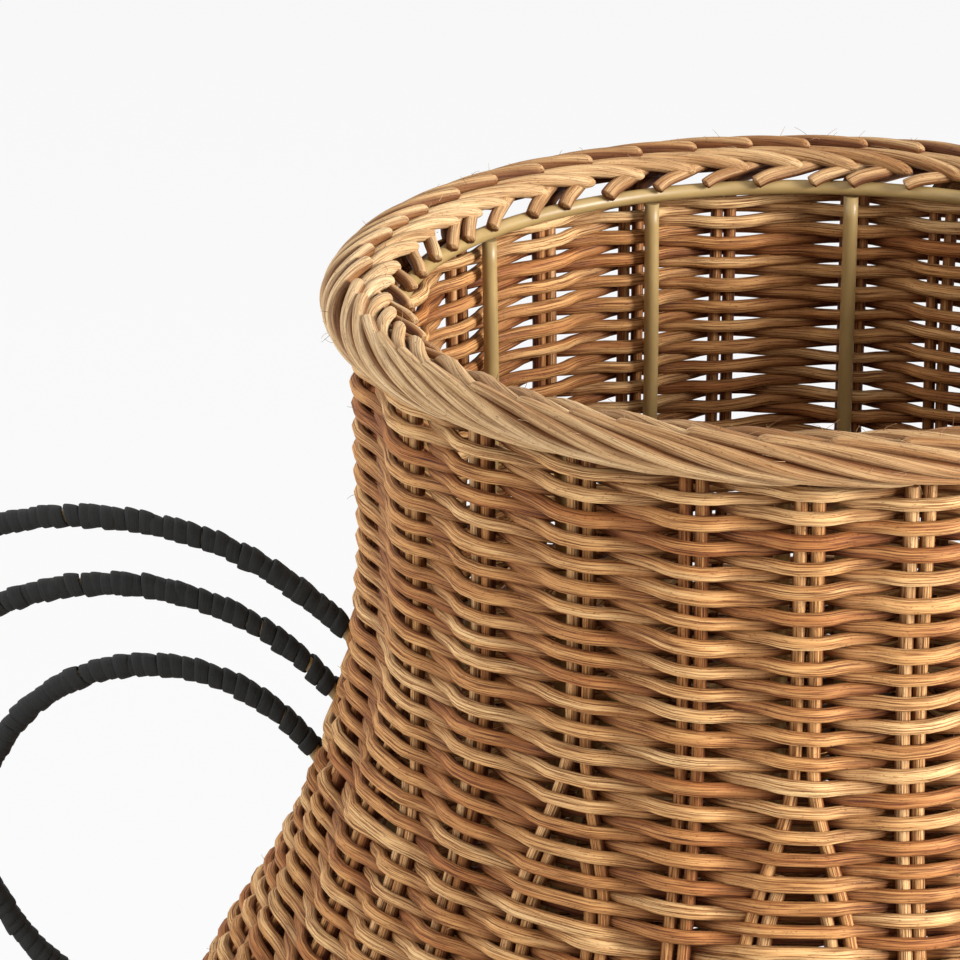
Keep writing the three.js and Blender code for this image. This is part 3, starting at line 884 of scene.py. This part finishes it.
# %% Cut tails inside the mouth
# Each place is a turn round the mouth in degrees, then how far out and how far up it lies in mm
TAIL = [
    (-3, -3.2, 0.75), (-1.2, -4.6, 0.05), (0.6, -6.2, -0.45), (2.4, -7.8, -0.7), (4, -9.2, -1),
    (5.2, -10.2, -1.6), (5.8, -10.6, -2.1)]
TAIL_WEIGHTS = (1.55, 1, 1)
TAIL_END = 0.45
TAIL_THICK = 1.5 * MM
TAIL_BACK = 13.5
LEAN, SHIFT, LIFT, THICKEN = 0.15, 0.9, 0.2 * MM, 0.08
turn, over, up, rounded = smooth_steps(TAIL, TAIL_WEIGHTS, TAIL_END)
lean = 1 + LEAN * border_rng.normal(size=(STRANDS, 1))
tail_shift = border_rng.normal(0, SHIFT, (STRANDS, 1))
tail_angle = tips[:, None] + (tail_shift - TAIL_BACK + turn * lean) * DEGREE
tail_over = over * MM
tail_up = up * MM + LIFT * border_rng.normal(size=(STRANDS, 1))
tail_path = ringed(tail_angle, tail_over, tail_up)
tail_out = ringed(tail_angle, tail_over - 1 * MM, tail_up + 1 * MM) - tail_path
tail_thick = TAIL_THICK * (1 + THICKEN * border_rng.normal(size=(STRANDS, 1))) * rounded
tails = sweep(tail_path, unit(tail_out), tail_thick, STRAND_SIDES, border_rng, flat=0.85)
# Painted light: tails at the sides get a paler tone too
tails["tone"] = 0.3 * tails["tone"] + 0.25 * sideways
print(len(tails["points"]), "tails are cut off inside the mouth")

# %% The roll's heart, and the border as one piece
HEART_STEPS, HEART_SIDES = 96, 8
HEART_THICK, HEART_DROP = 2.2 * MM, 0.3 * MM
heart_angle = np.linspace(0, 2 * math.pi, HEART_STEPS, endpoint=False)[None]
heart_path = ringed(heart_angle, 0, -HEART_DROP)
heart = sweep(heart_path, heart_path * (1, 1, 0), HEART_THICK, HEART_SIDES, border_rng, closed=True)
heart["tone"] = np.zeros(1)
border_sheaves = [outer_row, inner_row, tails, heart]
reed_piece("border_roll", border_sheaves, border_finish, ["rim_border"], columns=3)

# %% [markdown]
# ## Loose fibres
# Rattan frays: fine hairs lift off at the strand ends and along the reeds. A particle system would
# scatter them, but a few hundred thin bent tubes keep the same place in every render.

# %% Hairs on the border and the wall
HAIRS = 260
HAIR_THICK = 0.055 * MM
HAIR_STEPS, HAIR_SIDES = 7, 5
HAIR_ROOT = 0.9 * MM
hair_rng = np.random.default_rng(67)


def hairs(root, out, along, rng):
    """Bent hairs that leave their roots outwards and then trail along."""
    count = len(root)
    reach = rng.uniform(0.6, 2.4, (count, 1, 1)) * MM
    trail = rng.uniform(-3.5, 3.5, (count, 1, 1)) * MM
    share = np.linspace(0, 1, HAIR_STEPS)[None, :, None]
    aside = rng.normal(0, 0.7 * MM, (count, 1, 3)) * share ** 2
    path = root[:, None] + out[:, None] * reach * (share - 0.35 * share ** 2)
    path = path + along[:, None] * trail * share ** 1.5
    thick = HAIR_THICK * np.linspace(1, 0.5, HAIR_STEPS)[None] * np.ones((count, 1))
    return sweep(path + aside, np.broadcast_to(out[:, None], path.shape), thick, HAIR_SIDES, rng)


def round_way(angle):
    """The level direction round the vase's axis."""
    return turned(1, angle + math.pi / 2, 0)


hair_angle = hair_rng.uniform(0, 2 * math.pi, HAIRS)
hair_roll = hair_rng.uniform(-40, 170, HAIRS) * DEGREE
hair_root = ringed(hair_angle, 1.25 * ROLL_OVER * np.cos(hair_roll), 1.35 * ROLL_UP * np.sin(hair_roll))
hair_out = turned(np.cos(hair_roll), hair_angle, np.sin(hair_roll))
border_hairs = hairs(hair_root, hair_out, round_way(hair_angle), hair_rng)
border_hairs["tone"] = np.full(HAIRS, 0.8)
reed_piece("border_hairs", [border_hairs], border_finish, ["rim_border"], columns=4)

wall_angle = hair_rng.uniform(0, 2 * math.pi, 2 * HAIRS)
wall_slope = hair_rng.uniform(0.02, 0.98, 2 * HAIRS) * SLOPE_LENGTH
wall_root = wall_point(wall_angle, wall_slope, HAIR_ROOT)
wall_hairs = hairs(wall_root, wall_out(wall_angle, wall_slope), round_way(wall_angle), hair_rng)
reed_piece("wall_hairs", [wall_hairs], weave_finish, ["woven_wall"], columns=4)

# %% [markdown]
# ## The painted frame
# Steel wire painted khaki: twelve rods inside the wall, a ring under the border and a ring on the
# base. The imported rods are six-sided, so smooth ones take their places. The paint is even, with
# faint clouds and a slightly rough gloss.


# %% Frame paint
def painted(name, colour, worn):
    """A wire paint that goes from one colour to a worn one in clouds, with a fine pebbled skin."""
    material, tree, shader = new_finish(name)
    grain = add_node(tree, "Attribute", attribute_name="grain").outputs["Vector"]
    cloud = grain_noise(tree, grain, 3 * MM, 14 * MM, 3.0)
    pebbles = grain_noise(tree, grain, 0.5 * MM, 0.7 * MM, 2.0)
    tint = colour_ramp(tree, cloud, [(0.3, worn), (0.7, colour)])
    tree.links.new(tint, shader.inputs["Base Color"])
    gloss = add_node(tree, "MapRange", {"Value": cloud, "To Min": 0.5, "To Max": 0.34})
    tree.links.new(gloss.outputs[0], shader.inputs["Roughness"])
    bump = add_node(tree, "Bump", {"Height": pebbles, "Strength": 0.25, "Distance": 0.05 * MM})
    tree.links.new(bump.outputs["Normal"], shader.inputs["Normal"])
    return material


frame_finish = painted("khaki_paint", linear(172, 144, 93), linear(151, 124, 76))
print("paint:", frame_finish.name)

# %% Rods and rings
ROD_THICK = 1.6 * MM
ROD_DEPTH = 10.3 * MM
ROD_TURN = -1.0
ROD_STEPS, RING_STEPS, WIRE_SIDES = 90, 128, 12
frame_rng = np.random.default_rng(3)
ring_top, ring_base = (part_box(f"frame_{n}_ring") for n in ("top", "base"))


def wire_ring(box):
    """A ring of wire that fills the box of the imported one."""
    radius = box[1][0] - ROD_THICK
    height = (box[0][2] + box[1][2]) / 2
    angle = np.linspace(0, 2 * math.pi, RING_STEPS, endpoint=False)[None]
    path = turned(radius, angle, height)
    return sweep(path, path * (1, 1, 0), ROD_THICK, WIRE_SIDES, frame_rng, closed=True)


rod_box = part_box("frame_rod_01")
rod_slope = np.linspace(slope_at(rod_box[1][2]), slope_at(rod_box[0][2]), ROD_STEPS)
rod_numbers = np.arange(ROD_COUNT)[:, None]
# The two rods that the handles meet stand in line with them, and the others a little beside
rod_angle = (rod_numbers * 360 / ROD_COUNT + np.where(rod_numbers % 6, ROD_TURN, 0)) * DEGREE
rod_path = wall_point(rod_angle, rod_slope, ROD_DEPTH)
rods = sweep(rod_path, wall_out(rod_angle, rod_slope), ROD_THICK, WIRE_SIDES, frame_rng)
rod_nodes = [f"frame_rod_{i + 1:02d}" for i in range(ROD_COUNT)]
reed_piece("frame_rods", [rods], frame_finish, rod_nodes)
rings = [wire_ring(ring_top), wire_ring(ring_base)]
reed_piece("frame_rings", rings, frame_finish, ["frame_top_ring", "frame_base_ring"])

# %% [markdown]
# ## The handles
# Each handle is three arcs of painted wire, bound all along with a flat black strip. A ridged tube
# would look bound from afar, but the strip is a real band here: it winds round the wire loop by
# loop, each loop laps the one before, and where the hand left a slit the khaki wire shows.

# %% Handle wires
ARC_STEPS = 60
WIRE_DEPTH = 8.2 * MM


def arc_point(place, turn, out, beside, side):
    """Points about a handle arc; side is 1 for the right handle and -1 for the left."""
    reach = ARC_RADIUS[place] + out
    across = ARC_CENTRE[place] + reach * np.cos(turn)
    height = HANDLE_HEIGHT + reach * np.sin(turn)
    return np.stack(np.broadcast_arrays(side * across, side * beside, height), axis=-1)


wire_sheaves, wire_nodes = [], []
for place in ARC_RADIUS:
    turn = np.linspace(arc_meets(place, WIRE_DEPTH, -1), arc_meets(place, WIRE_DEPTH, 1), ARC_STEPS)
    for side, word in ((1, "right"), (-1, "left")):
        path = arc_point(place, turn, 0, 0, side)[None]
        out = arc_point(place, turn, 1, 0, side)[None] - path
        wire_sheaves.append(sweep(path, out, WIRE_RADIUS, WIRE_SIDES, frame_rng))
        wire_nodes.append(f"{word}_handle_{place}_core")
reed_piece("handle_wires", wire_sheaves, frame_finish, wire_nodes)

# %% [markdown]
# ## Black strip
# The strip is matte black with a faint lengthwise fibre, and a little brown in patches where it is
# worn.

# %% Finish of the strip
strip_finish, tree, shader = new_finish("black_strip")
grain = add_node(tree, "Attribute", attribute_name="grain").outputs["Vector"]
fibre = grain_noise(tree, grain, 0.25 * MM, 9 * MM, 3.0)
cloud = grain_noise(tree, grain, 4 * MM, 10 * MM, 2.0)
black = colour_ramp(tree, fibre, [(0.3, linear(8, 10, 9)), (0.75, linear(29, 31, 29))])
tint = colour_ramp(tree, cloud, [(0.5, (0.86, 0.9, 0.86, 1)), (0.75, (1, 0.8, 0.7, 1))])
tree.links.new(multiply(tree, black, tint), shader.inputs["Base Color"])
shader.inputs["Roughness"].default_value = 0.8
bump = add_node(tree, "Bump", {"Height": fibre, "Strength": 0.9, "Distance": 0.15 * MM})
tree.links.new(bump.outputs["Normal"], shader.inputs["Normal"])
print("strip finish:", strip_finish.name)

# %% Strip wound round the wires
STRIP_WIDE = 3.2 * MM
STRIP_THICK = 0.7 * MM
STRIP_LOOP = 2.5 * MM
STRIP_SPREAD = 0.25
STEPS_PER_LOOP = 14
STRIP_DEPTH = 1.6 * MM
STRIP_GAP, STRIP_LIFT = 0.35 * MM, 0.2 * MM
LIFTS_PER_LOOP = 4
LOOP_LENGTH = 2 * math.pi * 2.4 * MM
# The last loops of an arc lie this many times as far apart
SLACK = {"outer": 1.0, "middle": 1.4, "inner": 1.15}
SLACK_LOOPS = 9
# Across the strip's width and up its thickness, both as shares
STRIP_SECTION = np.array([
    (-0.5, 0.1), (-0.47, 0.75), (-0.36, 1.0), (-0.1, 0.92),
    (0.15, 0.76), (0.36, 0.56), (0.5, 0.3), (0, -0.1)])
strip_rng = np.random.default_rng(41)


def strip_winding(place, start, end, side, rng):
    """A band that winds along an arc from one turn to the other."""
    radius = ARC_RADIUS[place]
    length = (end - start) * radius
    loops = int(length / STRIP_LOOP)
    pitch = np.clip(1 + STRIP_SPREAD * rng.normal(size=loops), 0.6, 1.7)
    pitch[-SLACK_LOOPS:] *= SLACK[place]
    ahead = np.concatenate([[0], np.cumsum(pitch)])
    ahead *= (length - STRIP_WIDE) / ahead[-1]
    at = np.arange(loops * STEPS_PER_LOOP + 1) / STEPS_PER_LOOP
    middle = STRIP_WIDE / 2 + np.interp(at, np.arange(loops + 1), ahead)
    lifts = STRIP_LIFT * rng.normal(size=LIFTS_PER_LOOP * (loops + 1))
    raised = np.interp(at, np.arange(len(lifts)) / LIFTS_PER_LOOP, lifts)
    roll = 2 * math.pi * at
    along, thick = STRIP_SECTION[:, 0] * STRIP_WIDE, STRIP_SECTION[:, 1] * STRIP_THICK
    turn = start + (middle[:, None] + along) / radius
    distance = WIRE_RADIUS + STRIP_GAP + thick + raised[:, None]
    out, beside = distance * np.cos(roll)[:, None], distance * np.sin(roll)[:, None]
    points = arc_point(place, turn, out, beside, side)
    grain = np.stack(np.broadcast_arrays(along, thick, at[:, None] * LOOP_LENGTH), axis=-1)
    return {
        "points": points[None],
        "grain": grain[None] + rng.uniform(0, 1, 3),
        "tone": np.array([0.5]),
        "hidden": np.zeros(turn.shape),
        "closed": False,
    }


windings, winding_nodes = [], []
for place in ARC_RADIUS:
    start, end = (arc_meets(place, STRIP_DEPTH, way) for way in (-1, 1))
    for side, word in ((1, "right"), (-1, "left")):
        windings.append(strip_winding(place, start, end, side, strip_rng))
        winding_nodes.append(f"{word}_handle_{place}_wrap")
reed_piece("handle_strips", windings, strip_finish, winding_nodes)

# %% [markdown]
# ## The base
# The base is a flat round mat: spokes of two reeds each, spread from the middle, and single reeds
# woven over and under them in rings. It hides inside the foot, so it is made with fewer steps.

# %% Spokes and rings of the base
BASE_THICK, BASE_SIDES = 1.0 * MM, 6
BASE_WAVE = 1.9 * MM
SPOKE_HALF = 1.05 * MM
SPOKE_STEPS = 16
STEPS_PER_SPOKE = 6
base_low, base_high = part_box("woven_base")
BASE_MIDDLE = (base_low[2] + base_high[2]) / 2
base_rng = np.random.default_rng(17)
UP = np.array([0.0, 0.0, 1.0])


def base_rings(radii, angles, rng):
    """Closed rings of reed that go over and under the spokes at these angles."""
    at = np.arange(STEPS_PER_SPOKE * len(angles)) / STEPS_PER_SPOKE
    ends = np.append(angles, angles[0] + 2 * math.pi)
    angle = np.interp(at, np.arange(len(ends)), ends)
    wave = np.cos(math.pi * at) * np.where(np.arange(len(radii)) % 2, -1, 1)[:, None]
    path = turned(radii[:, None], angle, BASE_MIDDLE + BASE_WAVE * wave)
    return sweep(path, np.broadcast_to(UP, path.shape), BASE_THICK, BASE_SIDES, rng, closed=True)


def base_spokes(angles, near, far, rng):
    """Two reeds side by side along each spoke."""
    reach = np.linspace(near, far, SPOKE_STEPS)
    angle = np.repeat(angles, 2)[:, None]
    beside = np.tile([-SPOKE_HALF, SPOKE_HALF], len(angles))[:, None]
    path = turned(reach, angle, BASE_MIDDLE) + beside[:, None] * round_way(angle)
    return sweep(path, np.broadcast_to(UP, path.shape), BASE_THICK, BASE_SIDES, rng)


print("the mat's middle lies", round(BASE_MIDDLE / MM, 1), "mm up")

# %% The base mat
RING_GAP = 1.9 * MM
SPOKE_START, RING_START, HUB_RADIUS = 3 * MM, 9 * MM, 48 * MM
BASE_RADIUS = base_high[0] - 0.5 * MM
SPOKE_END = BASE_RADIUS - 1 * MM
hub_angles = np.arange(ROD_COUNT) * 30 * DEGREE
rim_angles = (np.arange(3 * ROD_COUNT) * 10 + 5) * DEGREE
mat = [
    base_spokes(hub_angles, SPOKE_START, HUB_RADIUS, base_rng),
    base_spokes(rim_angles, HUB_RADIUS, SPOKE_END, base_rng),
    base_rings(np.arange(RING_START, HUB_RADIUS, RING_GAP), hub_angles, base_rng),
    base_rings(np.arange(HUB_RADIUS, BASE_RADIUS, RING_GAP), rim_angles, base_rng),
]
reed_piece("base_mat", mat, weave_finish, ["woven_base"])
